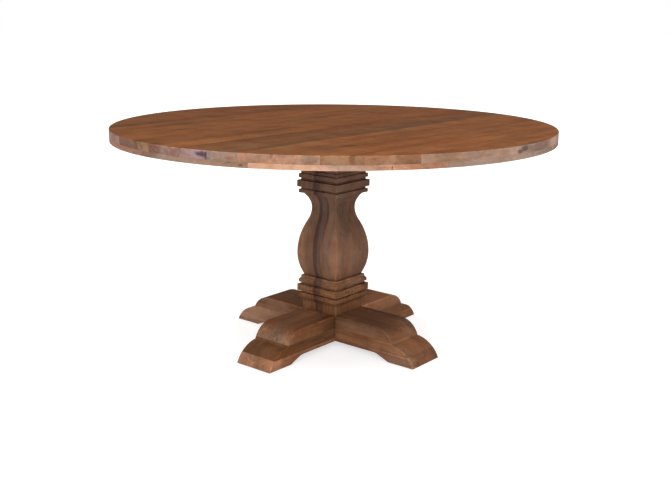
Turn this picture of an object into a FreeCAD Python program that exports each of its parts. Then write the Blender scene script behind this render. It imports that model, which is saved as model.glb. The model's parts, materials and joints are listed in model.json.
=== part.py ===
"""Round pedestal table: plank top with a built-up lip, square baluster column and a cross of scroll feet.

Frame: millimetres, +Z up, origin on the floor under the middle of the column. The four feet point along
-Y (front), +X (right), +Y (back) and -X (left), and the top boards run front to back.
"""

import FreeCAD, Part

import math
import os
import re

import Sketcher

UP = FreeCAD.Vector(0, 0, 1)
FOLDER = "parts"

# Driving dimensions: alias, value in millimetres (degrees for angles), meaning.
DIMENSIONS = [
    ("table_height", 770, "floor to the top surface"),
    ("top_radius", 750, "radius of the round top"),
    ("board_thick", 25, "thickness of the top boards"),
    ("lip_thick", 16, "thickness of the layer built up under the edge"),
    ("lip_corner", 695, "inner corners of the lip segments, from the axis"),
    ("column_top", 715, "underside of the mounting plate"),
    ("block_half", 75, "half-side of the plain square blocks at both ends of the column"),
    ("tier_half", 80, "half-side of the recesses and tiers between the mouldings"),
    ("bead_half", 86, "half-side of the narrow bands"),
    ("band_half", 90, "half-side of the wide bands"),
    ("belly_half", 90, "half-side of the baluster at its belly"),
    ("neck_half", 53.7, "half-side of the baluster at its neck"),
    ("plinth_top", 146, "top of the plain lower block"),
    ("low_bead_bottom", 161, "upper end of the slope over the lower block"),
    ("low_bead_top", 175, "top of the lowest narrow band"),
    ("low_band_bottom", 181.5, "bottom of the lower wide band"),
    ("low_band_top", 205, "top of the lower wide band"),
    ("mid_bead_bottom", 213, "bottom of the narrow band under the bulb"),
    ("mid_bead_top", 223, "top of the narrow band under the bulb"),
    ("mid_tier_bottom", 230.5, "upper end of the slope over that band"),
    ("bulb_bottom", 238.5, "where the bulb starts"),
    ("belly_level", 321, "level of the belly"),
    ("neck_level", 482, "level of the neck"),
    ("neck_bead_bottom", 534, "where the cove meets the upper mouldings"),
    ("neck_bead_top", 546.5, "top of the narrow band over the cove"),
    ("cap_band_bottom", 555, "bottom of the upper wide band"),
    ("cap_band_top", 578.5, "top of the upper wide band"),
    ("cap_bead_bottom", 587, "bottom of the highest narrow band"),
    ("cap_bead_top", 601, "top of the highest narrow band"),
    ("cap_tier_top", 612, "top of the last tier"),
    ("bulb_radius", 190, "radius of the bulb below the belly"),
    ("belly_radius", 270, "radius of the bulb above the belly"),
    ("cove_radius", 72, "radius of the cove above the neck"),
    ("inner_glue", 17, "glue line of the middle column board, from the axis"),
    ("outer_glue", 51, "glue line of the outer column boards, from the axis"),
    ("rail_width", 150, "width of the base rails"),
    ("foot_top", 115, "top of the base rails"),
    ("arch_level", 23, "underside of the rails between the feet"),
    ("sole_level", 2, "underside of the feet, on their pads"),
    ("layer_low", 36, "top of the bottom layer of the rails"),
    ("layer_high", 72, "top of the middle layer of the rails, and the level of the lap"),
    ("notch_level", 64, "level of the notch between the two scrolls of a foot"),
    ("instep_reach", 249.5, "where the upper scroll starts, from the axis"),
    ("instep_radius", 74, "radius of the upper scroll"),
    ("toe_radius", 103.5, "radius of the lower scroll"),
    ("toe_drop", 39.2, "centre of the lower scroll below the floor"),
    ("arch_reach", 240, "end of the flat underside, from the axis"),
    ("arch_radius", 60, "rounding between the flat underside and the slope to the sole"),
    ("arch_slope", 22, "slope to the sole, in degrees"),
    ("pad_radius", 30, "radius of the felt pads"),
    ("pad_reach", 355, "centre of the felt pads, from the axis"),
    ("plate_half", 210, "half-side of the mounting plate"),
    ("batten_height", 25, "height of the battens"),
    ("batten_width", 60, "width of the battens"),
    ("batten_half", 530, "half-length of the battens"),
    ("batten_offset", 330, "centre line of a batten, from the axis"),
    ("rod_radius", 6, "radius of the tie rod"),
    ("rod_bottom", 28, "lower end of the tie rod"),
    ("rod_top", 743, "upper end of the tie rod"),
    ("bore_radius", 6.5, "radius of the bore for the tie rod"),
    ("recess_radius", 20, "radius of the recess for a washer and nut"),
    ("washer_radius", 18, "outer radius of a washer"),
    ("washer_thick", 3, "thickness of a washer"),
    ("nut_across", 19, "width of a nut across its flats"),
    ("nut_height", 10, "height of a nut"),
    ("low_washer_level", 42, "underside of the lower washer"),
    ("high_washer_level", 727, "underside of the upper washer"),
    ("dowel_radius", 5, "radius of the dowels"),
    ("dowel_length", 45, "length of the dowels"),
    ("dowel_across", 34, "dowel centres from the axis, left and right"),
    ("dowel_along", 50, "dowel centres from the axis, front and back"),
    ("base_dowel_level", 92, "lower end of the dowels in the base"),
    ("plate_dowel_level", 690, "lower end of the dowels in the plate"),
    ("screw_radius", 2.5, "radius of a screw's shank"),
    ("screw_head_radius", 5, "radius of a screw's countersunk head"),
    ("screw_head_height", 3, "height of a screw's head"),
    ("screw_point", 5, "length of a screw's point"),
    ("plate_screw_length", 48, "length of the screws through the plate"),
    ("batten_screw_length", 40, "length of the screws through the battens"),
    ("screw_reach", 170, "screws in the plate, from the axis"),
]

# Joints between the top boards, from the axis, left to right.
BOARD_JOINTS = [-640, -545, -450, -354, -259, -163, -68, 63, 160, 252, 352, 452, 540, 636]

# Butt joints between the lip segments, in degrees from +X, anticlockwise.
LIP_JOINTS = [-98, -68, -26, 15, 56, 97, 139, 180, 221, 262]

doc = FreeCAD.newDocument("PedestalTable")
sheet = doc.addObject("Spreadsheet::Sheet", "Sheet")


def fill_sheet():
    rows = list(DIMENSIONS)
    rows += [(f"board_joint_{number}", place, "joint between two top boards, from the axis")
             for number, place in enumerate(BOARD_JOINTS, 1)]
    rows += [(f"lip_joint_{number}", angle, "butt joint in the lip, in degrees from +X")
             for number, angle in enumerate(LIP_JOINTS, 1)]
    for row, (alias, value, meaning) in enumerate(rows, 1):
        sheet.set(f"A{row}", alias)
        sheet.set(f"B{row}", str(value))
        sheet.setAlias(f"B{row}", alias)
        sheet.set(f"C{row}", meaning)
    doc.recompute()
    return {alias for alias, value, meaning in rows}


ALIASES = fill_sheet()


def cells(formula):
    """The formula with each alias written as the spreadsheet cell it names."""
    def named(word):
        return f"Sheet.{word[0]}" if word[0] in ALIASES else word[0]

    return re.sub(r"[a-z_0-9]+", named, str(formula))


def value(formula):
    """The formula's present value, as a plain number."""
    return float(sheet.evalExpression(cells(formula)))


def bind(thing, **formulas):
    """Bind properties of an object to the spreadsheet; X, Y and Z are its place."""
    for name, formula in formulas.items():
        path = f".Placement.Base.{name.lower()}" if name in ("X", "Y", "Z") else name
        thing.setExpression(path, cells(formula))
    return thing


def box(name, low, high):
    """A box between two corners, each given by three formulas."""
    sides = [f"({top}) - ({bottom})" for bottom, top in zip(low, high)]
    slab = doc.addObject("Part::Box", name)
    return bind(slab, X=low[0], Y=low[1], Z=low[2], Length=sides[0], Width=sides[1], Height=sides[2])


def cylinder(name, radius, bottom, top, x="0", y="0"):
    """An upright cylinder between two levels."""
    rod = doc.addObject("Part::Cylinder", name)
    return bind(rod, Radius=radius, Height=f"({top}) - ({bottom})", X=x, Y=y, Z=bottom)


def common(name, base, tool):
    piece = doc.addObject("Part::Common", name)
    piece.Base = base
    piece.Tool = tool
    return piece


def cut(name, base, tool):
    piece = doc.addObject("Part::Cut", name)
    piece.Base = base
    piece.Tool = tool
    return piece


def fuse(name, shapes):
    piece = doc.addObject("Part::MultiFuse", name)
    piece.Shapes = shapes
    return piece


def group(name, shapes):
    """Separate solids that share one node."""
    piece = doc.addObject("Part::Compound", name)
    piece.Links = shapes
    return piece


def sketch_on(body, plane):
    sketch = body.newObject("Sketcher::SketchObject", f"{body.Name}_{plane[:2].lower()}_sketch")
    support = [feature for feature in body.Origin.OriginFeatures if feature.Role == plane]
    sketch.AttachmentSupport = [(support[0], "")]
    sketch.MapMode = "FlatFace"
    return sketch


def edge(start, end, radius):
    """One edge of an outline and its sketch ends: straight, or an arc turning left (radius > 0) or right."""
    if radius == 0:
        return Part.LineSegment(start, end), 1, 2
    chord = end - start
    middle = (start + end) / 2
    side = FreeCAD.Vector(-chord.y, chord.x, 0).normalize()
    rise = math.sqrt(radius * radius - chord.Length * chord.Length / 4)
    centre = middle + side * math.copysign(rise, radius)
    first, last = (start, end) if radius > 0 else (end, start)
    angles = [math.atan2(point.y - centre.y, point.x - centre.x) for point in (first, last)]
    if angles[1] < angles[0]:
        angles[1] += 2 * math.pi
    arc = Part.ArcOfCircle(Part.Circle(centre, UP, abs(radius)), *angles)
    return (arc, 1, 2) if radius > 0 else (arc, 2, 1)


def draw(sketch, outline):
    """Draw a closed outline of (across, up, radius of the edge that follows), all bound to the sheet."""
    points = [FreeCAD.Vector(value(across), value(up), 0) for across, up, radius in outline]
    ends = []
    for number, (across, up, radius) in enumerate(outline):
        following = points[(number + 1) % len(points)]
        geometry, first, last = edge(points[number], following, value(radius))
        sketch.addGeometry(geometry)
        ends.append((first, last))
    for number, (first, last) in enumerate(ends):
        following = (number + 1) % len(ends)
        sketch.addConstraint(Sketcher.Constraint("Coincident", number, last, following, ends[following][0]))
    for number, (across, up, radius) in enumerate(outline):
        first = ends[number][0]
        for kind, formula in (("DistanceX", across), ("DistanceY", up)):
            size = Sketcher.Constraint(kind, -1, 1, number, first, value(formula))
            index = sketch.addConstraint(size)
            sketch.setExpression(f"Constraints[{index}]", cells(formula))
        if value(radius) != 0:
            index = sketch.addConstraint(Sketcher.Constraint("Radius", number, abs(value(radius))))
            sketch.setExpression(f"Constraints[{index}]", cells(f"abs({radius})"))


def prism(name, plane, outline, length, both_ways=True):
    """A body with one outline padded from an origin plane, evenly to both sides or upwards only."""
    body = doc.addObject("PartDesign::Body", name)
    sketch = sketch_on(body, plane)
    draw(sketch, outline)
    pad = body.newObject("PartDesign::Pad", f"{name}_pad")
    pad.Profile = sketch
    pad.SideType = "Symmetric" if both_ways else "One side"
    bind(pad, Length=length)
    return body


def mirrored(half):
    """A whole outline from its right half, which runs anticlockwise from the bottom to the top."""
    corners = [corner[:2] for corner in half]
    radii = [corner[2] for corner in half[:-1]]
    left = [(f"-({across})", up) for across, up in reversed(corners)]
    return [(*corner, radius) for corner, radius in zip(corners + left, radii + ["0"] + radii[::-1] + ["0"])]


def label(piece, name):
    """Name a sub-part: the label is also the name of its file."""
    piece.Label = name
    return piece


def top_boards(screws):
    """The boards of the top, laid front to back and cut to the circle, each drilled for its screws."""
    disc = cylinder("top_disc", "top_radius", "table_height - board_thick", "table_height")
    limits = ["-top_radius"]
    limits += [f"board_joint_{number}" for number in range(1, len(BOARD_JOINTS) + 1)]
    limits += ["top_radius"]
    pieces = []
    for number, (left, right) in enumerate(zip(limits, limits[1:]), 1):
        name = f"top_board_{number:02d}"
        strip = box(f"{name}_strip", (left, "-top_radius", "table_height - board_thick"),
                    (right, "top_radius", "table_height"))
        board = common(f"{name}_blank", disc, strip)
        inside = [screw for screw in screws if value(left) < screw.Placement.Base.x < value(right)]
        if inside:
            tool = fuse(f"{name}_screws", inside) if len(inside) > 1 else inside[0]
            board = cut(f"{name}_drilled", board, tool)
        pieces.append(label(board, name))
    return pieces


def lip_segments():
    """The layer under the edge: straight boards butted end to end and cut to the circle outside."""
    pieces = []
    for number in range(1, len(LIP_JOINTS)):
        name = f"lip_segment_{number}"
        start, end = f"lip_joint_{number}", f"lip_joint_{number + 1}"
        half = f"(({end}) - ({start})) / 2"
        outline = [
            (f"lip_corner * cos({half})", f"-lip_corner * sin({half})", "0"),
            (f"top_radius * cos({half})", f"-top_radius * sin({half})", "top_radius"),
            (f"top_radius * cos({half})", f"top_radius * sin({half})", "0"),
            (f"lip_corner * cos({half})", f"lip_corner * sin({half})", "0"),
        ]
        body = prism(name, "XY_Plane", outline, "lip_thick", both_ways=False)
        turn = FreeCAD.Rotation(UP, value(f"({start} + {end}) / 2"))
        level = FreeCAD.Vector(0, 0, value("table_height - board_thick - lip_thick"))
        body.Placement = FreeCAD.Placement(level, turn)
        pieces.append(label(body, name))
    return pieces


def column_outline():
    """The column's outline: blocks, bands and recesses with the baluster between them."""
    swell = "(belly_half - neck_half)"
    climb = "(neck_level - belly_level)"
    both_radii = f"(({swell}^2 + {climb}^2) / (2 * {swell}))"
    share = f"(belly_radius / {both_radii})"
    bulb_foot = "belly_half - bulb_radius + sqrt(bulb_radius^2 - (belly_level - bulb_bottom)^2)"
    turn_across = f"belly_half - {share} * {swell}"
    turn_level = f"belly_level + {share} * {climb}"
    cove_end = "neck_half + cove_radius - sqrt(cove_radius^2 - (neck_bead_bottom - neck_level)^2)"
    half = [
        ("block_half", "foot_top", "0"),
        ("block_half", "plinth_top", "0"),
        ("bead_half", "low_bead_bottom", "0"),
        ("bead_half", "low_bead_top", "0"),
        ("tier_half", "low_bead_top", "0"),
        ("tier_half", "low_band_bottom", "0"),
        ("band_half", "low_band_bottom", "0"),
        ("band_half", "low_band_top", "0"),
        ("tier_half", "low_band_top", "0"),
        ("tier_half", "mid_bead_bottom", "0"),
        ("bead_half", "mid_bead_bottom", "0"),
        ("bead_half", "mid_bead_top", "0"),
        ("tier_half", "mid_tier_bottom", "0"),
        ("tier_half", "bulb_bottom", "0"),
        (bulb_foot, "bulb_bottom", "bulb_radius"),
        ("belly_half", "belly_level", "belly_radius"),
        (turn_across, turn_level, f"belly_radius - {both_radii}"),
        ("neck_half", "neck_level", "-cove_radius"),
        (cove_end, "neck_bead_bottom", "0"),
        ("bead_half", "neck_bead_bottom", "0"),
        ("bead_half", "neck_bead_top", "0"),
        ("tier_half", "neck_bead_top", "0"),
        ("tier_half", "cap_band_bottom", "0"),
        ("band_half", "cap_band_bottom", "0"),
        ("band_half", "cap_band_top", "0"),
        ("tier_half", "cap_band_top", "0"),
        ("tier_half", "cap_bead_bottom", "0"),
        ("bead_half", "cap_bead_bottom", "0"),
        ("bead_half", "cap_bead_top", "0"),
        ("tier_half", "cap_bead_top", "0"),
        ("tier_half", "cap_tier_top", "0"),
        ("block_half", "cap_tier_top", "0"),
        ("block_half", "column_top", "0"),
    ]
    return mirrored(half)


def column_boards(dowels, bore):
    """The square baluster, cut to one outline on both pairs of faces and divided at its glue lines."""
    outline = column_outline()
    front = prism("column_front_outline", "XZ_Plane", outline, "3 * band_half")
    side = prism("column_side_outline", "YZ_Plane", outline, "3 * band_half")
    column = common("column_blank", front, side)
    limits = ["-band_half", "-outer_glue", "-inner_glue", "inner_glue", "outer_glue", "band_half"]
    names = ["left_outer", "left_inner", "middle", "right_inner", "right_outer"]
    tools = [None, dowels, bore, dowels, None]
    pieces = []
    for name, left, right, tool in zip(names, limits, limits[1:], tools):
        low = (left, "-band_half", "foot_top")
        slab = box(f"column_{name}_slab", low, (right, "band_half", "column_top"))
        board = common(f"column_{name}_blank", column, slab)
        if tool:
            board = cut(f"column_{name}_drilled", board, tool)
        pieces.append(label(board, f"column_board_{name}"))
    return pieces


def rail_outline():
    """A base rail seen from the side: flat top, two scrolls and a raised underside at both ends."""
    rounding_end = "arch_reach + arch_radius * sin(arch_slope)"
    rounding_level = "arch_level - arch_radius * (1 - cos(arch_slope))"
    sole_start = f"{rounding_end} + ({rounding_level} - sole_level) / tan(arch_slope)"
    notch = "(instep_reach + sqrt(instep_radius^2 - (foot_top - instep_radius - notch_level)^2))"
    toe_centre = f"{notch} - sqrt(toe_radius^2 - (notch_level + toe_drop)^2)"
    tip = f"{toe_centre} + sqrt(toe_radius^2 - (sole_level + toe_drop)^2)"
    half = [
        ("arch_reach", "arch_level", "-arch_radius"),
        (rounding_end, rounding_level, "0"),
        (sole_start, "sole_level", "0"),
        (tip, "sole_level", "toe_radius"),
        (notch, "notch_level", "instep_radius"),
        ("instep_reach", "foot_top", "0"),
    ]
    return mirrored(half)


def base_boards(dowels, bore):
    """The base cross: rails of three layers, the front-back one below the left-right one in a lap."""
    outline = rail_outline()
    long_rail = prism("front_back_rail", "YZ_Plane", outline, "rail_width")
    cross_rail = prism("left_right_rail", "XZ_Plane", outline, "rail_width")
    half_width, reach = "rail_width / 2", "top_radius"
    floor, low, high, top = "0", "layer_low", "layer_high", "foot_top"
    recess = fuse("base_bore", [bore, cylinder("base_nut_recess", "recess_radius", floor,
                                               "low_washer_level + washer_thick")])

    def layer(name, rail, tool, left, right, front, back, bottom, ceiling):
        slab = box(f"{name}_slab", (left, front, bottom), (right, back, ceiling))
        board = common(f"{name}_blank", rail, slab)
        if tool:
            board = cut(f"{name}_drilled", board, tool)
        return label(board, name)

    wide = (f"-{half_width}", half_width)
    drilled = fuse("base_dowel_bores", [dowels, bore])
    return [
        layer("front_back_rail_bottom", long_rail, recess, *wide, f"-{reach}", reach, floor, low),
        layer("front_back_rail_middle", long_rail, recess, *wide, f"-{reach}", reach, low, high),
        layer("front_foot_top", long_rail, None, *wide, f"-{reach}", f"-{half_width}", high, top),
        layer("back_foot_top", long_rail, None, *wide, half_width, reach, high, top),
        layer("left_right_rail_top", cross_rail, drilled, f"-{reach}", reach, *wide, high, top),
        layer("right_foot_middle", cross_rail, None, half_width, reach, *wide, low, high),
        layer("left_foot_middle", cross_rail, None, f"-{reach}", f"-{half_width}", *wide, low, high),
        layer("right_foot_bottom", cross_rail, None, half_width, reach, *wide, floor, low),
        layer("left_foot_bottom", cross_rail, None, f"-{reach}", f"-{half_width}", *wide, floor, low),
    ]


def felt_pads():
    """One round pad under each foot."""
    places = {
        "front": ("0", "-pad_reach"),
        "right": ("pad_reach", "0"),
        "back": ("0", "pad_reach"),
        "left": ("-pad_reach", "0"),
    }
    return [label(cylinder(f"pad_{side}", "pad_radius", "0", "sole_level", x, y), f"felt_pad_{side}")
            for side, (x, y) in places.items()]


def mounting_plate(dowels, bore, screws):
    """The board between the column and the top, recessed above for the upper washer and nut."""
    under_boards = "table_height - board_thick"
    blank = box("plate_blank", ("-plate_half", "-plate_half", "column_top"),
                ("plate_half", "plate_half", under_boards))
    recess = cylinder("plate_nut_recess", "recess_radius", "high_washer_level", under_boards)
    tools = fuse("plate_bores", [bore, recess, dowels, *screws])
    return [label(cut("plate_drilled", blank, tools), "mounting_plate")]


def battens(screws):
    """Two cross battens, left to right under the boards, in front of and behind the plate."""
    pieces = []
    for side, sign in (("front", "-"), ("back", "")):
        centre = f"{sign}batten_offset"
        low = ("-batten_half", f"{centre} - batten_width / 2", "table_height - board_thick - batten_height")
        high = ("batten_half", f"{centre} + batten_width / 2", "table_height - board_thick")
        blank = box(f"batten_{side}_blank", low, high)
        inside = [screw for screw in screws if screw.Placement.Base.y * value(centre) > 0]
        piece = cut(f"batten_{side}_drilled", blank, fuse(f"batten_{side}_screws", inside))
        pieces.append(label(piece, f"batten_{side}"))
    return pieces


def tie_rod():
    """The steel rod that clamps plate, column and base, with a washer and a nut at each end."""
    rod = label(cylinder("rod", "rod_radius", "rod_bottom", "rod_top"), "tie_rod")
    washer_levels = ["low_washer_level", "high_washer_level"]
    nut_levels = ["low_washer_level - nut_height", "high_washer_level + washer_thick"]
    washers, nuts = [], []
    for number, (washer_level, nut_level) in enumerate(zip(washer_levels, nut_levels), 1):
        disc = cylinder(f"washer_disc_{number}", "washer_radius", washer_level,
                        f"{washer_level} + washer_thick")
        washers.append(cut(f"washer_{number}", disc, rod))
        hexagon = doc.addObject("Part::Prism", f"nut_hexagon_{number}")
        hexagon.Polygon = 6
        bind(hexagon, Circumradius="nut_across / 2 / cos(30)", Height="nut_height", Z=nut_level)
        nuts.append(cut(f"nut_{number}", hexagon, rod))
    return [rod, label(group("washers", washers), "tie_rod_washers"),
            label(group("nuts", nuts), "tie_rod_nuts")]


def dowel_set(name, level):
    """Four dowels in the two inner boards of the column."""
    places = [(x, y) for x in ("-dowel_across", "dowel_across") for y in ("-dowel_along", "dowel_along")]
    dowels = [cylinder(f"{name}_{number}", "dowel_radius", level, f"{level} + dowel_length", x, y)
              for number, (x, y) in enumerate(places, 1)]
    return label(group(name, dowels), name)


def screw_solid(length):
    """A countersunk wood screw standing on its head, its thread drawn as a plain shank."""
    shank_radius, head_radius = value("screw_radius"), value("screw_head_radius")
    head_height, point = value("screw_head_height"), value("screw_point")
    half_section = [(0, 0), (head_radius, 0), (shank_radius, head_height),
                    (shank_radius, length - point), (0, length)]
    corners = [FreeCAD.Vector(across, 0, up) for across, up in half_section]
    section = Part.Face(Part.makePolygon(corners + corners[:1]))
    return section.revolve(FreeCAD.Vector(0, 0, 0), UP, 360)


def screw_set(name, places, level, length):
    """Screws driven upwards at the given places, each an object of its own."""
    solid = screw_solid(value(length))
    screws = []
    for number, (x, y) in enumerate(places, 1):
        screw = doc.addObject("Part::Feature", f"{name}_{number}")
        screw.Shape = solid
        screw.Placement = FreeCAD.Placement(FreeCAD.Vector(x, y, value(level)), FreeCAD.Rotation())
        screws.append(screw)
    return screws


def plate_screws():
    """Eight screws round the plate, at its corners and the middles of its sides."""
    reach = value("screw_reach")
    steps = (-reach, 0, reach)
    places = [(x, y) for x in steps for y in steps if x or y]
    return screw_set("plate_screw", places, "column_top", "plate_screw_length")


def batten_screws():
    """One screw through each batten into every board above it, midway across what it covers."""
    edges = [value("-batten_half")] + [joint for joint in BOARD_JOINTS if abs(joint) < value("batten_half")]
    edges += [value("batten_half")]
    middles = [(left + right) / 2 for left, right in zip(edges, edges[1:])]
    offset = value("batten_offset")
    places = [(x, y) for y in (-offset, offset) for x in middles]
    level = "table_height - board_thick - batten_height"
    return screw_set("batten_screw", places, level, "batten_screw_length")


def build():
    """Every sub-part of the table."""
    bore = cylinder("tie_rod_bore", "bore_radius", "arch_level", "table_height - board_thick")
    base_dowels = dowel_set("base_dowels", "base_dowel_level")
    plate_dowels = dowel_set("plate_dowels", "plate_dowel_level")
    through_plate = plate_screws()
    through_battens = batten_screws()
    doc.recompute()
    column_dowels = fuse("column_dowels", [base_dowels, plate_dowels])
    pieces = top_boards(through_plate + through_battens)
    pieces += lip_segments()
    pieces += column_boards(column_dowels, bore)
    pieces += base_boards(base_dowels, bore)
    pieces += felt_pads()
    pieces += mounting_plate(plate_dowels, bore, through_plate)
    pieces += battens(through_battens)
    pieces += tie_rod()
    pieces += [base_dowels, plate_dowels]
    pieces.append(label(group("plate_screw_group", through_plate), "plate_screws"))
    pieces.append(label(group("batten_screw_group", through_battens), "batten_screws"))
    return pieces


def check(pieces):
    """Stop if a feature failed or a sub-part has no valid shape."""
    failed = [thing.Name for thing in doc.Objects if {"Invalid", "Error"} & set(thing.State)]
    hollow = [piece.Label for piece in pieces if piece.Shape.isNull() or not piece.Shape.isValid()]
    if failed or hollow:
        raise RuntimeError(f"features that failed: {failed}; sub-parts with no valid shape: {hollow}")


def write(pieces):
    os.makedirs(FOLDER, exist_ok=True)
    for piece in pieces:
        piece.Shape.exportStep(os.path.join(FOLDER, f"{piece.Label}.step"))
        print(f"{piece.Label}: {len(piece.Shape.Solids)} solid(s), {piece.Shape.Volume / 1000:.1f} cm3")


parts = build()
doc.recompute()
check(parts)
write(parts)
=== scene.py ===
"""The looks of the round pedestal table: eased boards, solid timber, felt, steel, floor, lights, camera.

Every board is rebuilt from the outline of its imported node, so its place and shape come from the frame.
Metres, +Z up.
The top boards run along Y, the column's along Z, and the two base rails along Y and X.
"""

import json
import math
import random

import bmesh
import bpy
from mathutils import Matrix, Vector


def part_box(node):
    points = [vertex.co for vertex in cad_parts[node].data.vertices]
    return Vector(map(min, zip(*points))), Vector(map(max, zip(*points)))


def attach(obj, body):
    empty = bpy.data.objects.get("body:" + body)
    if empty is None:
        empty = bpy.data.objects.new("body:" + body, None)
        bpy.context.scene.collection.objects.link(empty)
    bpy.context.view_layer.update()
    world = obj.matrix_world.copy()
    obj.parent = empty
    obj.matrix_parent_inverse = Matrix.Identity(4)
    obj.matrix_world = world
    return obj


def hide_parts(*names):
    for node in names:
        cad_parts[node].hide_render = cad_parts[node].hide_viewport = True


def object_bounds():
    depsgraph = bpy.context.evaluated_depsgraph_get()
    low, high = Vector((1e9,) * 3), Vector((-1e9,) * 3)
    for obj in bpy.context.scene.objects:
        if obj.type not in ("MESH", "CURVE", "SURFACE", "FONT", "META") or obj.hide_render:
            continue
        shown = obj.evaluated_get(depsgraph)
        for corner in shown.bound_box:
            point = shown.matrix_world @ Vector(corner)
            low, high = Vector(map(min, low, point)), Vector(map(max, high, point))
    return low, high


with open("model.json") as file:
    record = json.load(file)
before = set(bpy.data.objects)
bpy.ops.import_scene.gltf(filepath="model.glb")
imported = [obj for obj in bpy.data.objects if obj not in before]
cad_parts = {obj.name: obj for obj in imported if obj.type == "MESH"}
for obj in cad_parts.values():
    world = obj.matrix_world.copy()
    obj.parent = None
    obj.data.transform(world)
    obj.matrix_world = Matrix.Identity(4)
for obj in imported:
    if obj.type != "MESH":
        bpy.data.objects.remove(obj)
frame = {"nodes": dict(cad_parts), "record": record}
CAD_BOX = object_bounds()
SLOTS = {part["node"]: part["material_slot"] for part in frame["record"]["subparts"]}
NODES = sorted(frame["nodes"])
TABLE_TOP = CAD_BOX[1].z
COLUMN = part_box("column_board_middle")

# ---------------------------------------------------------------- outlines and meshes

SAME = 1e-6          # two coordinates closer than this are one
SMOOTH_TURN = 15.0   # degrees: a smaller turn between two runs belongs to a curve
CURVE_STEP = 0.012   # longest run along a curve
LONGEST_CURVE = 0.144  # a longer run is straight, though a curve may meet it
STRAIGHT_TURN = 0.02   # degrees: a point that turns less is left out
ARRIS = 0.0016       # easing of the edges a hand can touch
GLUE_ARRIS = 0.0003  # easing of the edges at a glue line
ARRIS_TURN = 40      # degrees: an exposed edge that turns less is part of a curve
GLUE_TURN = 60       # the same for an edge in a glued face
SHADED_SHARP = math.radians(32)


def flat_outline(node, axis):
    """The outline of the node's flat face that looks along +axis, as 2-D points in order, anticlockwise."""
    mesh = bmesh.new()
    mesh.from_mesh(frame["nodes"][node].data)
    bmesh.ops.remove_doubles(mesh, verts=mesh.verts, dist=SAME)
    level = max(vertex.co[axis] for vertex in mesh.verts)
    cap = {face for face in mesh.faces if all(level - vertex.co[axis] < SAME * 10 for vertex in face.verts)}
    rim = [e for e in mesh.edges if sum(face in cap for face in e.link_faces) == 1]
    following = {}
    for e in rim:
        for vertex in e.verts:
            following.setdefault(vertex, []).append(e.other_vert(vertex))
    start = rim[0].verts[0]
    chain = [start, following[start][0]]
    while True:
        ahead = [vertex for vertex in following[chain[-1]] if vertex is not chain[-2]][0]
        if ahead is start:
            break
        chain.append(ahead)
    keep = [index for index in range(3) if index != axis]
    points = [Vector((vertex.co[keep[0]], vertex.co[keep[1]])) for vertex in chain]
    mesh.free()
    area = sum(a.cross(b) for a, b in zip(points, points[1:] + points[:1]))
    return points if area > 0 else points[::-1]


def turn_at(points, index):
    """Degrees the outline turns at a point."""
    before = points[index] - points[index - 1]
    after = points[(index + 1) % len(points)] - points[index]
    return math.degrees(before.angle(after, 0.0))


def without_straight_points(points):
    return [point for index, point in enumerate(points) if turn_at(points, index) > STRAIGHT_TURN]


def smoothed(points):
    """The outline with its curves drawn finely, as a cubic through each run that heads on to the next."""
    points = without_straight_points(points)
    count = len(points)
    curved = [turn_at(points, index) < SMOOTH_TURN for index in range(count)]

    def heading(index):
        before = (points[index] - points[index - 1]).normalized()
        after = (points[(index + 1) % count] - points[index]).normalized()
        return (before + after).normalized()

    drawn = []
    for index in range(count):
        following = (index + 1) % count
        start, end = points[index], points[following]
        chord = end - start
        drawn.append(start)
        if not (curved[index] or curved[following]) or chord.length > LONGEST_CURVE:
            continue
        along = chord.normalized()
        first = heading(index) if curved[index] else None
        last = heading(following) if curved[following] else None
        if first is None:
            first = 2 * along * along.dot(last) - last
        if last is None:
            last = 2 * along * along.dot(first) - first
        steps = max(1, math.ceil(chord.length / CURVE_STEP))
        for step in range(1, steps):
            t = step / steps
            drawn.append(start * (2 * t**3 - 3 * t**2 + 1) + first * chord.length * (t**3 - 2 * t**2 + t)
                         + end * (3 * t**2 - 2 * t**3) + last * chord.length * (t**3 - t**2))
    return drawn


def placed(across, up, depth, axis):
    """A 3-D point from a 2-D outline point and its depth along the axis."""
    point = [across, up]
    point.insert(axis, depth)
    return Vector(point)


def ease(mesh, glued):
    """Round the outside edges: widely where they are exposed, barely where the edge lies in a glued face."""
    def sharp(limit):
        steep = math.radians(limit)
        return [e for e in mesh.edges if e.is_manifold and e.is_convex and e.calc_face_angle() > steep]

    def bevel(edges, width, segments):
        return bmesh.ops.bevel(mesh, geom=edges, offset=width, segments=segments, profile=0.6,
                               affect="EDGES", clamp_overlap=True)["faces"]

    # Mark the exposed arrises, which the material paints paler as wear and as painted highlight.
    arris_wear_highlight = mesh.faces.layers.float.new("arris_wear_highlight")
    exposed = [e for e in sharp(ARRIS_TURN) if not glued((e.verts[0].co + e.verts[1].co) / 2)]
    for face in bevel(exposed, ARRIS, 3):
        face[arris_wear_highlight] = 1.0
    bevel([e for e in sharp(GLUE_TURN) if glued((e.verts[0].co + e.verts[1].co) / 2)], GLUE_ARRIS, 1)


def finish_piece(mesh, node):
    """Turn the working mesh into the piece that is shown for a node."""
    bmesh.ops.recalc_face_normals(mesh, faces=mesh.faces)
    data = bpy.data.meshes.new(f"{node}_eased")
    mesh.to_mesh(data)
    mesh.free()
    data.polygons.foreach_set("use_smooth", [True] * len(data.polygons))
    data.set_sharp_from_angle(angle=SHADED_SHARP)
    piece = bpy.data.objects.new(f"{node}_eased", data)
    bpy.context.scene.collection.objects.link(piece)
    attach(piece, "root")
    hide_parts(node)
    return piece


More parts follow.
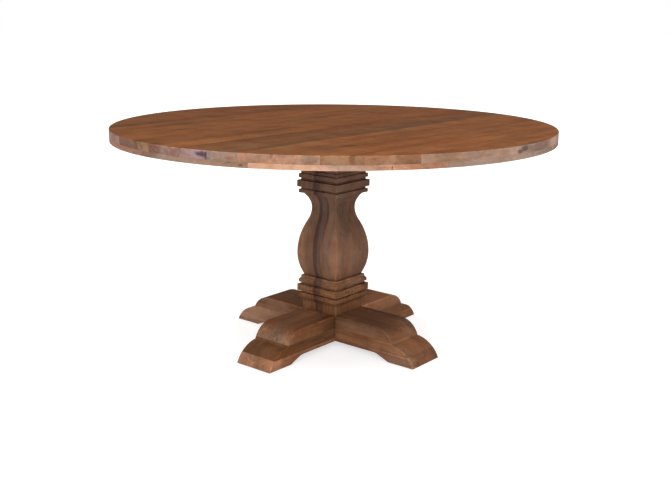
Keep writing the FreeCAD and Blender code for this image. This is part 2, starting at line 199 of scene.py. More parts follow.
def prism(node, axis, glued):
    """A board with one outline along its whole depth, such as a top board or a layer of a rail."""
    outline = smoothed(flat_outline(node, axis))
    low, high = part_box(node)
    mesh = bmesh.new()
    ends = []
    for depth in (low[axis], high[axis]):
        ends.append([mesh.verts.new(placed(*point, depth, axis)) for point in outline])
    mesh.faces.new(ends[0])
    mesh.faces.new(ends[1])
    for index in range(len(outline)):
        following = (index + 1) % len(outline)
        mesh.faces.new((ends[0][index], ends[0][following], ends[1][following], ends[1][index]))
    bmesh.ops.recalc_face_normals(mesh, faces=mesh.faces)
    ease(mesh, glued)
    return finish_piece(mesh, node)


def column_board(node, outline, glued):
    """A column board: a stack of levels, each as deep as the baluster there. Outer boards are as wide too."""
    low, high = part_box(node)
    reach = outline_reach(outline)
    mesh = bmesh.new()
    rings = []
    for half, level in outline:
        left = low.x if low.x > -reach else -half
        right = high.x if high.x < reach else half
        corners = ((left, -half), (right, -half), (right, half), (left, half))
        rings.append([mesh.verts.new((x, y, level)) for x, y in corners])
    mesh.faces.new(rings[0])
    mesh.faces.new(rings[-1])
    for below, above in zip(rings, rings[1:]):
        for index in range(4):
            following = (index + 1) % 4
            mesh.faces.new((below[index], below[following], above[following], above[index]))
    bmesh.ops.recalc_face_normals(mesh, faces=mesh.faces)
    ease(mesh, glued)
    return finish_piece(mesh, node)


def outline_reach(outline):
    """Just under the widest half of the column: an outer board's far face lies beyond it."""
    return max(half for half, level in outline) - SAME * 10


# ---------------------------------------------------------------- shader nodes

def add(tree, kind, inputs=None, **settings):
    """A node with its settings, and its inputs set to numbers or linked to sockets."""
    made = tree.nodes.new(kind)
    for name, value in settings.items():
        setattr(made, name, value)
    for name, value in (inputs or {}).items():
        connect(tree, value, made.inputs[name])
    return made


def connect(tree, value, socket):
    if isinstance(value, bpy.types.NodeSocket):
        tree.links.new(value, socket)
    else:
        socket.default_value = value


def maths(tree, operation, *values, clamp=False):
    given = dict(enumerate(values))
    return add(tree, "ShaderNodeMath", given, operation=operation, use_clamp=clamp).outputs[0]


def vector_maths(tree, operation, *values):
    made = add(tree, "ShaderNodeVectorMath", dict(enumerate(values)), operation=operation)
    return made.outputs["Value" if operation in ("LENGTH", "DOT_PRODUCT", "DISTANCE") else "Vector"]


def noise(tree, scale, detail=2.0, roughness=0.5, vector=None, line=None):
    """Noise in three dimensions at a vector, or in one along a line."""
    inputs = {"Scale": scale, "Detail": detail, "Roughness": roughness}
    if line is not None:
        return add(tree, "ShaderNodeTexNoise", {"W": line, **inputs}, noise_dimensions="1D").outputs[0]
    return add(tree, "ShaderNodeTexNoise", {"Vector": vector, **inputs}, noise_dimensions="3D").outputs[0]


def span(tree, value, low, high, to_low=0.0, to_high=1.0):
    """The value carried smoothly from one span to another, and held at its ends."""
    inputs = {"Value": value, "From Min": low, "From Max": high, "To Min": to_low, "To Max": to_high}
    return add(tree, "ShaderNodeMapRange", inputs, interpolation_type="SMOOTHSTEP").outputs[0]


def mix(tree, factor, first, second, blend="MIX"):
    made = add(tree, "ShaderNodeMix", data_type="RGBA", blend_type=blend)
    for socket, value in zip((made.inputs[0], made.inputs[6], made.inputs[7]), (factor, first, second)):
        connect(tree, value, socket)
    return made.outputs[2]


def stretched(tree, vector, along, across):
    """The grain coordinates scaled for a pattern that is long along the grain and narrow across it."""
    return vector_maths(tree, "MULTIPLY", vector, (along, across, across))


def solid(red, green, blue):
    return (red, green, blue, 1.0)


def interface(tree, direction, **sockets):
    for name, (kind, default) in sockets.items():
        made = tree.interface.new_socket(name, in_out=direction, socket_type=f"NodeSocket{kind}")
        if default is not None:
            made.default_value = default


def timber_group():
    """Solid timber. Grain runs along the vector's X; growth rings are centred on its X axis, the pith."""
    tree = bpy.data.node_groups.new("timber", "ShaderNodeTree")
    interface(tree, "INPUT", Vector=("Vector", None), Swell=("Float", 0.0), Dark=("Color", None),
              Light=("Color", None), Mineral=("Float", 0.5))
    interface(tree, "OUTPUT", Color=("Color", None), Roughness=("Float", None), Height=("Float", None))
    given = tree.nodes.new("NodeGroupInput").outputs
    vector = given["Vector"]

    # The pith wanders along the board, so the rings show as flames and long waves on the faces.
    wander_y = maths(tree, "SUBTRACT", noise(tree, 1.0, 1.5, 0.5, stretched(tree, vector, 1.6, 5.0)), 0.5)
    wander_z = maths(tree, "SUBTRACT", noise(tree, 1.0, 1.5, 0.5, stretched(tree, vector, 2.1, 6.5)), 0.5)
    parts = add(tree, "ShaderNodeSeparateXYZ", {"Vector": vector}).outputs
    y = maths(tree, "MULTIPLY_ADD", wander_y, 0.07, parts["Y"])
    z = maths(tree, "MULTIPLY_ADD", wander_z, 0.05, parts["Z"])
    squared = maths(tree, "MULTIPLY_ADD", y, y, maths(tree, "MULTIPLY", z, z))
    radius = maths(tree, "SQRT", squared)
    radius = maths(tree, "ADD", radius, given["Swell"])

    broad = noise(tree, 30.0, 1.5, 0.5, line=radius)
    rings = noise(tree, 150.0, 2.0, 0.6, line=radius)
    clear = noise(tree, 1.0, 2.0, 0.5, stretched(tree, vector, 2.2, 17.0))
    shown = span(tree, clear, 0.40, 0.66, 0.15, 1.0)
    rings = maths(tree, "MULTIPLY", maths(tree, "SUBTRACT", rings, 0.5), shown)
    blotch = noise(tree, 1.0, 3.0, 0.5, stretched(tree, vector, 2.6, 15.0))
    lines = noise(tree, 1.0, 2.0, 0.55, stretched(tree, vector, 1.8, 120.0))
    fibre = noise(tree, 1.0, 3.0, 0.7, stretched(tree, vector, 9.0, 700.0))
    tone = maths(tree, "MULTIPLY", broad, 0.18)
    for pattern, share in ((rings, 0.22), (blotch, 0.46), (lines, 0.20), (fibre, 0.22)):
        tone = maths(tree, "MULTIPLY_ADD", pattern, share, tone)
    light = span(tree, tone, 0.38, 0.62)
    colour = mix(tree, light, given["Dark"], given["Light"])

    # Slow drifts of hue, redder here and greyer there, as boards of one finish have.
    hue = span(tree, noise(tree, 1.0, 2.0, 0.5, stretched(tree, vector, 3.1, 21.0)), 0.36, 0.64)
    drift = mix(tree, hue, solid(1.05, 0.96, 0.92), solid(0.96, 1.02, 1.08))
    colour = mix(tree, 1.0, colour, drift, "MULTIPLY")

    # Long thin mineral lines, darker than the wood about them.
    mineral = span(tree, noise(tree, 1.0, 2.5, 0.6, stretched(tree, vector, 1.2, 48.0)), 0.60, 0.76)
    mineral = maths(tree, "MULTIPLY", mineral, given["Mineral"])
    colour = mix(tree, mineral, colour, mix(tree, 1.0, colour, solid(0.52, 0.50, 0.56), "MULTIPLY"))

    # Open pores: short dark flecks along the grain, dots on the end grain.
    pores = span(tree, noise(tree, 1.0, 1.0, 0.5, stretched(tree, vector, 70.0, 1500.0)), 0.60, 0.70)
    stained = mix(tree, 1.0, colour, solid(0.45, 0.38, 0.34), "MULTIPLY")
    colour = mix(tree, maths(tree, "MULTIPLY", pores, 0.7), colour, stained)

    rough = maths(tree, "MULTIPLY_ADD", light, -0.08, 0.66)
    rough = maths(tree, "MULTIPLY_ADD", pores, 0.16, rough)
    height = maths(tree, "MULTIPLY_ADD", rings, 0.30, maths(tree, "MULTIPLY", fibre, 0.55))
    height = maths(tree, "MULTIPLY_ADD", pores, -0.8, height)
    result = tree.nodes.new("NodeGroupOutput")
    for name, socket in (("Color", colour), ("Roughness", rough), ("Height", height)):
        tree.links.new(socket, result.inputs[name])
    return tree


TIMBER = timber_group()
GRAIN_X = (0.0, 0.0, 0.0)
GRAIN_Y = (0.0, 0.0, -math.pi / 2)
GRAIN_Z = (0.0, math.pi / 2, 0.0)


def mark_fade(tree, place, ragged, centre, reach):
    """One at the middle of a mark, nothing beyond its reach, with a ragged edge."""
    away = vector_maths(tree, "DIVIDE", vector_maths(tree, "SUBTRACT", place, centre), reach)
    distance = maths(tree, "ADD", vector_maths(tree, "LENGTH", away), ragged)
    return span(tree, distance, 0.35, 1.0, 1.0, 0.0)


def timber(name, grain, pith, palette, edge=None, marks=(), fades=(), mineral=0.5,
           wear_and_highlight=0.6, recess_shade=0.4, torn=()):
    """A board's own material.

    grain turns the board's own direction onto X, and pith is where its rings are centred after that. palette
    is its dark and light colours, edge those of its cut edge and underside. marks are streaks, stains, knots
    and patches, on a few boards also painted shade and a painted highlight, as (centre, reach, tint), and
    fades are changes of tint across the place as (axis, from, to, tint), one of them painted shade.
    wear_and_highlight is how much paler its arrises are, partly wear and partly painted highlight, and
    recess_shade is the share of its own colour left in corners and recesses, where painted shade darkens it.
    torn is heights at which the saw tore the grain, as (from, to, tears per metre, tint).
    """
    material = bpy.data.materials.new(name)
    material.use_nodes = True
    tree = material.node_tree
    shader = tree.nodes["Principled BSDF"]
    place = tree.nodes.new("ShaderNodeTexCoord").outputs["Object"]
    turned = add(tree, "ShaderNodeVectorRotate", {"Vector": place, "Rotation": grain},
                 rotation_type="EULER_XYZ")
    vector = vector_maths(tree, "ADD", turned.outputs[0], pith)
    dark, light = palette
    if edge:
        facing = tree.nodes.new("ShaderNodeNewGeometry").outputs["Normal"]
        normal = add(tree, "ShaderNodeSeparateXYZ", {"Vector": facing})
        side = span(tree, normal.outputs["Z"], 0.45, 0.85, 1.0, 0.0)
        dark, light = mix(tree, side, dark, edge[0]), mix(tree, side, light, edge[1])
    ragged = noise(tree, 1.0, 2.0, 0.6, stretched(tree, vector, 14.0, 70.0))
    ragged = maths(tree, "MULTIPLY_ADD", ragged, 1.1, -0.55)
    shown_marks = [mark_fade(tree, place, ragged, centre, reach) for centre, reach, tint in marks]
    swell = 0.0
    for shown, (centre, reach, tint) in zip(shown_marks, marks):
        swell = maths(tree, "MULTIPLY_ADD", shown, min(reach) * 0.8, swell)
    inputs = {"Vector": vector, "Swell": swell, "Dark": dark, "Light": light, "Mineral": mineral}
    wood = add(tree, "ShaderNodeGroup", node_tree=TIMBER)
    for key, value in inputs.items():
        connect(tree, value, wood.inputs[key])
    colour = wood.outputs["Color"]
    # Stain takes unevenly, in patches that cross the grain.
    cloud = span(tree, noise(tree, 13.0, 3.0, 0.6, vector=place), 0.34, 0.66)
    patchy = mix(tree, cloud, solid(0.88, 0.84, 0.80), solid(1.08, 1.10, 1.12))
    colour = mix(tree, 1.0, colour, patchy, "MULTIPLY")
    for shown, (centre, reach, tint) in zip(shown_marks, marks):
        colour = mix(tree, shown, colour, mix(tree, 1.0, colour, solid(*tint), "MULTIPLY"))
    for axis, start, end, tint in fades:
        coordinate = add(tree, "ShaderNodeSeparateXYZ", {"Vector": place}).outputs[axis]
        low, high, near, far = (start, end, 0.0, 1.0) if start < end else (end, start, 1.0, 0.0)
        shift = mix(tree, span(tree, coordinate, low, high, near, far), solid(1.0, 1.0, 1.0), solid(*tint))
        colour = mix(tree, 1.0, colour, shift, "MULTIPLY")
    for low, high, fineness, tint in torn:
        height = add(tree, "ShaderNodeSeparateXYZ", {"Vector": place}).outputs["Z"]
        above = span(tree, height, low, low + 0.008)
        there = maths(tree, "MULTIPLY", above, span(tree, height, high - 0.008, high, 1.0, 0.0))
        tears = noise(tree, 1.0, 2.0, 0.6, vector_maths(tree, "MULTIPLY", place, fineness))
        tears = maths(tree, "MULTIPLY", there, span(tree, tears, 0.50, 0.66))
        colour = mix(tree, tears, colour, mix(tree, 1.0, colour, solid(*tint), "MULTIPLY"))
    # Painted shade: the colour darkens where the ambient occlusion finds corners and recesses.
    open_sky = add(tree, "ShaderNodeAmbientOcclusion", {"Distance": 0.03}, samples=8).outputs["AO"]
    painted_recess_shade = span(tree, open_sky, 0.25, 0.85, recess_shade, 1.0)
    colour = mix(tree, painted_recess_shade, mix(tree, 1.0, colour, solid(0.40, 0.34, 0.30), "MULTIPLY"), colour)
    # The arrises are painted paler in patches: partly wear, partly painted highlight.
    arris_wear_highlight = tree.nodes.new("ShaderNodeAttribute")
    arris_wear_highlight.attribute_name = "arris_wear_highlight"
    patchy_wear_highlight = span(tree, noise(tree, 60.0, 3.0, 0.6, vector=place), 0.42, 0.60, 0.1, 0.8)
    colour = mix(tree, maths(tree, "MULTIPLY", arris_wear_highlight.outputs["Fac"], patchy_wear_highlight), colour,
                 mix(tree, 1.0, colour, solid(*[1 + wear_and_highlight] * 3), "MULTIPLY"))
    tree.links.new(colour, shader.inputs["Base Color"])
    tree.links.new(wood.outputs["Roughness"], shader.inputs["Roughness"])
    relief = {"Height": wood.outputs["Height"], "Strength": 0.5, "Distance": 0.0004}
    bump = add(tree, "ShaderNodeBump", relief)
    tree.links.new(bump.outputs[0], shader.inputs["Normal"])
    shader.inputs["Specular IOR Level"].default_value = 0.05
    return material


# ---------------------------------------------------------------- boards

def in_planes(*planes):
    """A test for points that lie in any of the planes, each an axis and a place on it."""
    return lambda point: any(abs(point[axis] - place) < 2e-5 for axis, place in planes)


def palette(colour, tone=1.0, spread=0.3):
    """A board's dark and light colours about a middle one."""
    return [solid(*(part * tone * (1 + share) for part in colour)) for share in (-spread, spread)]


def blend(first, second, share):
    return tuple(a + (b - a) * share for a, b in zip(first, second))


STAINED = (0.126, 0.0445, 0.0135)    # the stained and oiled top face
STAINED_GREY = (0.110, 0.0465, 0.0178)
BARE_TAN = (0.275, 0.141, 0.078)     # the planed rim, with less stain
BARE_MAUVE = (0.235, 0.138, 0.112)
BARE_BEIGE = (0.222, 0.147, 0.108)
BARE_PINK = (0.45, 0.268, 0.180)     # the one pale lip segment
COLUMN_TAN = (0.172, 0.092, 0.053)   # the column, greyer than the top
COLUMN_MAUVE = (0.150, 0.088, 0.069)
BASE_TAN = (0.149, 0.066, 0.031)     # the feet, browner than the column

# Boards of the base that are paler or darker than the rest.
BASE_TONES = {"front_back_rail_bottom": 1.4, "front_back_rail_middle": 0.85, "right_foot_bottom": 0.86,
              "right_foot_middle": 1.15, "left_foot_bottom": 1.25, "left_right_rail_top": 0.9,
              "back_foot_top": 1.3}


def on_rim(degrees, height):
    """A place on the round edge, by its angle from +X."""
    turn = math.radians(degrees)
    return (CAD_BOX[1].x * math.cos(turn), CAD_BOX[1].x * math.sin(turn), height)


EDGE_MIDDLE = TABLE_TOP - 0.0125  # halfway down the boards
LIP_MIDDLE = TABLE_TOP - 0.033   # halfway down the lip, seen from outside
# Streaks, stains, knots and patches of single boards, and on the base and column painted shade and a painted
# highlight: where, how far they reach each way, and their tint.
TOP_MARKS = {
    "top_board_03": [((-0.475, 0.0, TABLE_TOP), (0.035, 0.7, 0.05), (0.84, 0.82, 0.82))],
    "top_board_07": [(on_rim(-101.2, EDGE_MIDDLE), (0.030, 0.04, 0.05), (0.70, 0.72, 0.74))],
    "top_board_08": [(on_rim(-93.4, EDGE_MIDDLE), (0.045, 0.04, 0.05), (0.76, 0.64, 0.58)),
                     ((0.022, -0.62, TABLE_TOP), (0.045, 0.36, 0.02), (1.25, 1.25, 1.28)),
                     ((-0.038, -0.28, TABLE_TOP), (0.018, 0.26, 0.05), (0.78, 0.74, 0.74))],
    "top_board_09": [((0.070, -0.1, TABLE_TOP), (0.022, 0.7, 0.05), (0.80, 0.77, 0.80)),
                     (on_rim(-78.9, EDGE_MIDDLE + 0.002), (0.030, 0.03, 0.011), (0.30, 0.29, 0.40)),
                     (on_rim(-77.4, EDGE_MIDDLE - 0.004), (0.013, 0.02, 0.016), (0.36, 0.34, 0.46))],
    "top_board_10": [((0.215, 0.2, TABLE_TOP), (0.06, 0.24, 0.05), (0.80, 0.82, 0.83)),
                     (on_rim(-72.2, EDGE_MIDDLE - 0.003), (0.020, 0.020, 0.008), (0.95, 0.74, 0.55))],
    "top_board_11": [((0.258, 0.0, TABLE_TOP), (0.012, 0.8, 0.05), (1.18, 1.16, 1.12))],
    "top_board_12": [((0.385, -0.40, TABLE_TOP), (0.022, 0.05, 0.05), (0.66, 0.62, 0.62)),
                     (on_rim(-54.8, EDGE_MIDDLE), (0.040, 0.040, 0.022), (0.62, 0.68, 0.70))],
    "top_board_13": [((0.517, -0.50, TABLE_TOP), (0.010, 0.14, 0.05), (0.66, 0.60, 0.60)),
                     ((0.505, 0.20, TABLE_TOP), (0.035, 0.16, 0.05), (0.76, 0.76, 0.76))],
    "top_board_14": [(on_rim(-34.6, EDGE_MIDDLE), (0.060, 0.060, 0.05), (0.68, 0.65, 0.62))],
    "top_board_15": [(on_rim(-4.6, EDGE_MIDDLE - 0.005), (0.03, 0.020, 0.009), (0.42, 0.36, 0.40)),
                     (on_rim(-2.6, EDGE_MIDDLE + 0.003), (0.03, 0.026, 0.011), (0.42, 0.38, 0.44)),
                     (on_rim(-26.0, EDGE_MIDDLE), (0.09, 0.09, 0.04), (0.84, 0.74, 0.64)),
                     (on_rim(4.6, EDGE_MIDDLE), (0.03, 0.11, 0.03), (0.60, 0.56, 0.54))],
}
LIP_MARKS = {
    "lip_segment_1": [(on_rim(-103.0, LIP_MIDDLE), (0.24, 0.24, 0.2), (0.68, 0.64, 0.56)),
                      (on_rim(-69.7, LIP_MIDDLE), (0.010, 0.010, 0.005), (0.45, 0.35, 0.30))],
    "lip_segment_2": [(on_rim(-38.2, LIP_MIDDLE), (0.003, 0.003, 0.009), (0.40, 0.30, 0.25)),
                      (on_rim(-31.0, LIP_MIDDLE), (0.16, 0.16, 0.2), (0.66, 0.58, 0.52)),
                      (on_rim(-46.0, LIP_MIDDLE), (0.12, 0.12, 0.2), (0.80, 0.82, 0.84))],
}
BASE_MARKS = {
    "front_back_rail_middle": [((0.0, -0.36, 0.07), (0.3, 0.10, 0.06), (0.94, 0.88, 0.72)),
                               # Painted shade: the side facing +X darkens toward the column.
                               ((0.080, -0.20, 0.06), (0.04, 0.15, 0.06), (0.86, 0.82, 0.74))],
    "front_foot_top": [((0.0, -0.352, 0.085), (0.2, 0.085, 0.08), (1.30, 1.66, 2.25)),
                       ((-0.045, -0.315, 0.112), (0.025, 0.025, 0.03), (1.25, 1.05, 0.90)),
                       # Painted shade: the side facing +X darkens toward the column, darkest beside it.
                       ((0.075, -0.10, 0.08), (0.05, 0.09, 0.08), (0.55, 0.50, 0.44)),
                       ((0.080, -0.24, 0.09), (0.04, 0.12, 0.06), (0.88, 0.84, 0.76))],
    "front_back_rail_bottom": [((0.0, -0.38, 0.02), (0.3, 0.05, 0.05), (1.30, 1.45, 1.70))],
    "right_foot_bottom": [((0.33, -0.080, 0.02), (0.14, 0.05, 0.06), (1.80, 2.05, 2.50))],
    "right_foot_middle": [((0.34, -0.080, 0.06), (0.12, 0.05, 0.05), (1.25, 1.35, 1.45)),
                          ((0.385, 0.045, 0.06), (0.025, 0.035, 0.015), (1.10, 0.78, 0.60))],
    "left_foot_bottom": [((-0.30, -0.080, 0.02), (0.25, 0.05, 0.08), (1.36, 1.60, 1.95))],
    "left_foot_middle": [((-0.30, -0.080, 0.05), (0.25, 0.05, 0.08), (1.32, 1.58, 1.95))],
    "left_right_rail_top": [((-0.25, -0.080, 0.09), (0.2, 0.03, 0.06), (1.22, 1.50, 1.90)),
                            # Painted shade: the upward face of the right foot, darker under the tabletop.
                            ((0.22, 0.0, 0.115), (0.32, 0.2, 0.03), (0.78, 0.80, 0.88)),
                            ((0.20, -0.080, 0.085), (0.12, 0.03, 0.05), (1.10, 1.15, 1.25))],
}
COLUMN_MARKS = {
    "column_board_left_outer": [((-0.075, -0.09, 0.31), (0.04, 0.3, 0.16), (1.22, 1.18, 1.12))],
    "column_board_middle": [((-0.010, -0.09, 0.33), (0.014, 0.3, 0.5), (0.66, 0.60, 0.62))],
    "column_board_right_inner": [((0.022, -0.06, 0.47), (0.008, 0.3, 0.18), (0.66, 0.62, 0.68))],
    "column_board_right_outer": [((0.075, -0.01, 0.45), (0.3, 0.05, 0.10), (0.72, 0.74, 0.72)),
                                 # Painted highlight: a pale patch down the near corner of the belly.
                                 ((0.085, -0.085, 0.33), (0.04, 0.03, 0.16), (1.25, 1.2, 1.15))],
}

# The top is paler toward its front edge. The column is more golden at its foot, and darker at its head as
# painted shade under the tabletop.
TOP_FADES = [("Y", -0.28, -0.68, (1.10, 1.16, 1.20))]
COLUMN_FADES = [("Z", COLUMN[0].z + 0.22, COLUMN[0].z + 0.02, (0.80, 0.68, 0.50)),
                ("Z", 0.50, 0.60, (0.95, 0.92, 0.94))]
# Chatter along the lower bands, and picked-out fibre on the block under them.
COLUMN_TEARS = [(0.168, 0.245, (28, 28, 230), (1.42, 1.44, 1.46)),
                (0.168, 0.245, (22, 22, 300), (0.66, 0.60, 0.54)),
                (0.105, 0.205, (170, 170, 20), (1.28, 1.14, 0.86)),
                (0.105, 0.205, (210, 210, 16), (0.66, 0.58, 0.50))]

# Each top board from the left: tone and greyness of its face, then tone and mauve share of its cut edge.
TOP_BOARDS = [(0.95, 0.3, 0.9, 0.7), (0.91, 0.1, 0.8, 0.4), (0.84, 0.1, 0.9, 0.6), (0.95, 0.0, 0.85, 0.8),
              (1.02, 0.0, 0.85, 0.9), (1.02, 0.0, 0.44, 0.5), (0.97, 0.1, 0.75, 0.0), (0.98, 0.0, 0.76, 0.9),
              (0.88, 0.2, 0.93, 1.4), (0.92, 0.9, 0.86, 0.2), (1.08, 0.2, 1.07, 0.3), (1.10, 0.1, 0.98, 0.3),
              (1.14, 0.1, 0.65, -0.2), (1.28, 0.1, 0.85, 0.0), (1.15, 0.2, 1.15, 0.0)]
# Boards whose bare wood is beiger than the rest.
BEIGE_BOARDS = {"top_board_10", "top_board_15", "lip_segment_1", "lip_segment_3"}


def top_boards():
    rng = random.Random(5)
    names = [name for name in NODES if name.startswith("top_board")]
    for name, (tone, grey, edge_tone, mauve) in zip(names, TOP_BOARDS):
        low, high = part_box(name)
        piece = prism(name, 2, in_planes((0, low.x), (0, high.x), (2, low.z)))
        middle = (low + high) / 2
        pith = (rng.uniform(-9, 9), middle.x + rng.uniform(-0.03, 0.03),
                -middle.z + rng.choice((-1, 1)) * rng.uniform(0.04, 0.11))
        face = palette(blend(STAINED, STAINED_GREY, grey), tone, 0.19)
        bare = BARE_BEIGE if name in BEIGE_BOARDS else BARE_TAN
        edge = palette(blend(bare, BARE_MAUVE, mauve), edge_tone)
        marks = TOP_MARKS.get(name, ())
        made = timber(f"{name}_timber", GRAIN_Y, pith, face, edge, marks, TOP_FADES, mineral=0.22)
        piece.data.materials.append(made)


def lip_segments():
    rng = random.Random(11)
    for name in [name for name in NODES if name.startswith("lip_segment")]:
        low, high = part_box(name)
        piece = prism(name, 2, in_planes((2, high.z)))
        middle = sum((vertex.co for vertex in piece.data.vertices), Vector()) / len(piece.data.vertices)
        along = math.atan2(middle.x, -middle.y)
        colour = blend(BARE_TAN, BARE_MAUVE, rng.uniform(0.2, 0.9))
        tone = rng.uniform(0.85, 1.0)
        if name == "lip_segment_2":
            colour, tone = BARE_PINK, 1.0
        elif name in BEIGE_BOARDS:
            colour, tone = BARE_BEIGE, 1.1
        pith = (rng.uniform(-9, 9), middle.length + rng.uniform(0.02, 0.06), -high.z + 0.08)
        turn = (0.0, 0.0, -along)
        marks = LIP_MARKS.get(name, ())
        made = timber(f"{name}_timber", turn, pith, palette(colour, tone, 0.22), marks=marks)
        piece.data.materials.append(made)


def column_boards():
    rng = random.Random(17)
    profile = smoothed(flat_outline("column_board_middle", 0))
    right = [point for point in profile if point.x > 0]
    start = min(range(len(right)), key=lambda index: right[index].y)
    right = right[start:] + right[:start]
    tones = {"left_outer": 1.05, "left_inner": 0.95, "middle": 0.70, "right_inner": 0.95, "right_outer": 1.0}
    for suffix, tone in tones.items():
        name = f"column_board_{suffix}"
        low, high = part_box(name)
        reach = outline_reach(right)
        planes = [(2, low.z), (2, high.z)] + [(0, place) for place in (low.x, high.x) if abs(place) < reach]
        piece = column_board(name, right, in_planes(*planes))
        middle = (low + high) / 2
        pith = (rng.uniform(-9, 9), rng.uniform(-0.03, 0.03), middle.x + rng.uniform(0.03, 0.08))
        colour = blend(COLUMN_TAN, COLUMN_MAUVE, 0.9 if suffix == "middle" else 0.2)
        marks = COLUMN_MARKS.get(name, ())
        made = timber(f"{name}_timber", GRAIN_Z, pith, palette(colour, tone, 0.22), marks=marks,
                      fades=COLUMN_FADES, mineral=0.35, wear_and_highlight=0.45, torn=COLUMN_TEARS)
        piece.data.materials.append(made)


def base_boards():
    rng = random.Random(23)
    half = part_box("front_back_rail_bottom")[1].x
    for name in [name for name in NODES if SLOTS[name] == "base_wood"]:
        low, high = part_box(name)
        along = 1 if name.startswith(("front", "back")) else 0
        planes = [(2, low.z), (2, high.z)]
        ends = (low[along], high[along])
        planes += [(along, place) for place in ends if abs(abs(place) - half) < SAME * 10]
        if low.z < 0.01:
            planes.remove((2, low.z))
        if abs(high.z - COLUMN[0].z) < 1e-4:
            planes.remove((2, high.z))
        piece = prism(name, 1 - along, in_planes(*planes))
        middle = (low + high) / 2
        tone = rng.uniform(0.92, 1.06) * BASE_TONES.get(name, 1.0)
        across = middle.x if along else -middle.y
        pith = (rng.uniform(-9, 9), across + rng.uniform(-0.03, 0.03),
                -middle.z + rng.choice((-1, 1)) * rng.uniform(0.03, 0.08))
        colour = palette(BASE_TAN, tone)
        grain = GRAIN_Y if along else GRAIN_X
        made = timber(f"{name}_timber", grain, pith, colour, marks=BASE_MARKS.get(name, ()), wear_and_highlight=0.9)
        piece.data.materials.append(made)


# ---------------------------------------------------------------- felt, steel and hidden wood

def felt_pad(node):
    """A punched felt disc: flat faces, soft rounded edge, and a rim of loose fibre."""
    low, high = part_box(node)
    centre = (low + high) / 2
    radius, thick = (high.x - low.x) / 2, high.z - low.z
    rng = random.Random(node)
    profile = [(0.30, 0.0), (0.62, 0.02), (0.90, 0.0), (0.975, 0.10), (1.0, 0.35), (1.0, 0.65), (0.975, 0.9),
               (0.90, 1.0), (0.62, 0.98), (0.30, 1.0)]
    sides = 72
    mesh = bmesh.new()
    rings = []
    for out, up in profile:
        ring = []
        for side in range(sides):
            turn = 2 * math.pi * side / sides
            reach = radius * out * (1 - rng.random() * (0.012 if out > 0.95 else 0.0))
            ring.append(mesh.verts.new((centre.x + reach * math.cos(turn), centre.y + reach * math.sin(turn),
                                        low.z + thick * up)))
        rings.append(ring)
    mesh.faces.new(rings[0])
    mesh.faces.new(rings[-1])
    for below, above in zip(rings, rings[1:]):
        for side in range(sides):
            mesh.faces.new((below[side - 1], below[side], above[side], above[side - 1]))
    piece = finish_piece(mesh, node)
    piece.data.materials.append(FELT)


def plain_material(name, colour, roughness, **constants):
    material = bpy.data.materials.new(name)
    material.use_nodes = True
    shader = material.node_tree.nodes["Principled BSDF"]
    tree = material.node_tree
    connect(tree, colour(tree), shader.inputs["Base Color"])
    connect(tree, roughness(tree), shader.inputs["Roughness"])
    for key, value in constants.items():
        shader.inputs[key.replace("_", " ")].default_value = value
    return material


def object_place(tree):
    return tree.nodes.new("ShaderNodeTexCoord").outputs["Object"]


def felt_material():
    def colour(tree):
        fleck = noise(tree, 900.0, 3.0, 0.7, vector=object_place(tree))
        shown = span(tree, fleck, 0.35, 0.65)
        return mix(tree, shown, solid(0.060, 0.045, 0.034), solid(0.15, 0.118, 0.093))

    made = plain_material("grey_felt", colour, lambda tree: 0.95, Sheen_Weight=0.15)
    tree = made.node_tree
    fuzz = noise(tree, 2200.0, 3.0, 0.7, vector=object_place(tree))
    bump = add(tree, "ShaderNodeBump", {"Height": fuzz, "Strength": 0.8, "Distance": 0.0005})
    tree.links.new(bump.outputs[0], tree.nodes["Principled BSDF"].inputs["Normal"])
    return made


def steel_material():
    def colour(tree):
        bloom = noise(tree, 240.0, 3.0, 0.6, vector=object_place(tree))
        return mix(tree, span(tree, bloom, 0.35, 0.68), solid(0.50, 0.50, 0.49), solid(0.72, 0.73, 0.74))

    def roughness(tree):
        return span(tree, noise(tree, 420.0, 3.0, 0.6, vector=object_place(tree)), 0.3, 0.7, 0.26, 0.5)

    return plain_material("bright_zinc", colour, roughness, Metallic=1.0)


def hidden_timber(name, grain, tone):
    low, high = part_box(name)
    rng = random.Random(name)
    pith = (rng.uniform(-9, 9), rng.uniform(-0.3, 0.3), -high.z + 0.09)
    return timber(f"{name}_timber", grain, pith, palette(BARE_TAN, tone, 0.25), mineral=0.3)


def hidden_parts():
    steel = steel_material()
    for name in NODES:
        kept = frame["nodes"][name]
        if SLOTS[name] == "zinc_steel":
            shown = steel
        elif SLOTS[name] in ("hidden_wood", "dowel_wood"):
            grain = GRAIN_X if name.startswith("batten") else GRAIN_Z if "dowel" in name else GRAIN_Y
            shown = hidden_timber(name, grain, 0.8 if SLOTS[name] == "hidden_wood" else 1.3)
        else:
            continue
        kept.data.materials.clear()
        kept.data.materials.append(shown)


FELT = felt_material()


# ---------------------------------------------------------------- floor, lights, camera

VIEW_AZIMUTH = math.radians(39.81)
VIEW_DISTANCE = 3.151
VIEW_HEIGHT = 1.121
VIEW_YAW = math.radians(-0.12)
VIEW_PITCH = math.radians(13.547)
VIEW_ROLL = math.radians(0.413)
LENS = 49.396
SENSOR = 36.0
FLOOR_REACH = 60.0
FLOOR_GLOW = 0.60  # what the camera sees besides the light on the floor, so that it reads as white

# Each softbox: degrees round from the viewer, degrees up, degrees across, strength.
SOFTBOXES = {
    "key": (-12, 22, 50, 2.4),
    "fill": (40, 12, 60, 1.1),
    "overhead": (0, 80, 60, 1.4),
    "back_left": (-120, 20, 50, 1.1),
    "back_right": (120, 20, 50, 1.1),
}


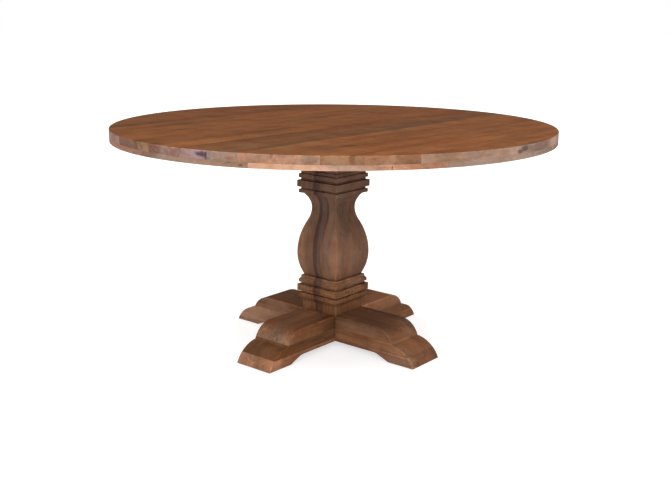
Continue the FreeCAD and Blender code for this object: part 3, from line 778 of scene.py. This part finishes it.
def studio():
    floor = bpy.data.meshes.new("floor")
    low, high = -FLOOR_REACH, FLOOR_REACH
    corners = [(low, low, 0), (high, low, 0), (high, high, 0), (low, high, 0)]
    floor.from_pydata(corners, [], [(0, 1, 2, 3)])
    ground = bpy.data.objects.new("floor", floor)
    bpy.context.scene.collection.objects.link(ground)
    pale = bpy.data.materials.new("pale_floor")
    pale.use_nodes = True
    tree = pale.node_tree
    shader = tree.nodes["Principled BSDF"]
    shader.inputs["Base Color"].default_value = solid(0.55, 0.55, 0.55)
    shader.inputs["Roughness"].default_value = 0.9
    shader.inputs["Specular IOR Level"].default_value = 0.0
    shader.inputs["Emission Color"].default_value = solid(1.0, 1.0, 1.0)
    seen = tree.nodes.new("ShaderNodeLightPath").outputs["Is Camera Ray"]
    tree.links.new(maths(tree, "MULTIPLY", seen, FLOOR_GLOW), shader.inputs["Emission Strength"])
    floor.materials.append(pale)

    world = bpy.data.worlds.new("studio")
    bpy.context.scene.world = world
    world.use_nodes = True
    tree = world.node_tree
    direction = tree.nodes.new("ShaderNodeTexCoord").outputs["Generated"]
    up = add(tree, "ShaderNodeSeparateXYZ", {"Vector": direction})
    sky = span(tree, up.outputs["Z"], 0.10, 0.85, 0.07, 0.78)
    seen = tree.nodes.new("ShaderNodeLightPath").outputs["Is Camera Ray"]
    strength = maths(tree, "MULTIPLY_ADD", maths(tree, "SUBTRACT", 1.0, seen), sky, seen)
    tree.links.new(strength, tree.nodes["Background"].inputs["Strength"])
    tree.nodes["Background"].inputs["Color"].default_value = solid(1.0, 1.0, 1.0)


def softbox(name, from_viewer, elevation, softness, strength):
    """A large far softbox, as a wide sun."""
    light = bpy.data.lights.new(name, "SUN")
    light.energy = strength
    light.angle = math.radians(softness)
    lamp = bpy.data.objects.new(name, light)
    bpy.context.scene.collection.objects.link(lamp)
    tilt = math.pi / 2 - math.radians(elevation)
    lamp.rotation_euler = (tilt, 0.0, VIEW_AZIMUTH + math.radians(from_viewer))


def camera():
    """The photograph's view."""
    lens = bpy.data.cameras.new("camera")
    lens.sensor_width = SENSOR
    lens.lens = LENS
    viewer = bpy.data.objects.new("camera", lens)
    bpy.context.scene.collection.objects.link(viewer)
    turn = (Matrix.Rotation(VIEW_AZIMUTH + VIEW_YAW, 4, "Z")
            @ Matrix.Rotation(math.pi / 2 - VIEW_PITCH, 4, "X")
            @ Matrix.Rotation(VIEW_ROLL, 4, "Z"))
    place = (math.sin(VIEW_AZIMUTH) * VIEW_DISTANCE, -math.cos(VIEW_AZIMUTH) * VIEW_DISTANCE, VIEW_HEIGHT)
    viewer.matrix_world = Matrix.Translation(place) @ turn
    bpy.context.scene.camera = viewer


top_boards()
lip_segments()
column_boards()
base_boards()
hidden_parts()
for pad in [name for name in NODES if SLOTS[name] == "felt"]:
    felt_pad(pad)
studio()
for box_name, box_light in SOFTBOXES.items():
    softbox(box_name, *box_light)
camera()
bpy.context.scene.view_settings.view_transform = "Standard"
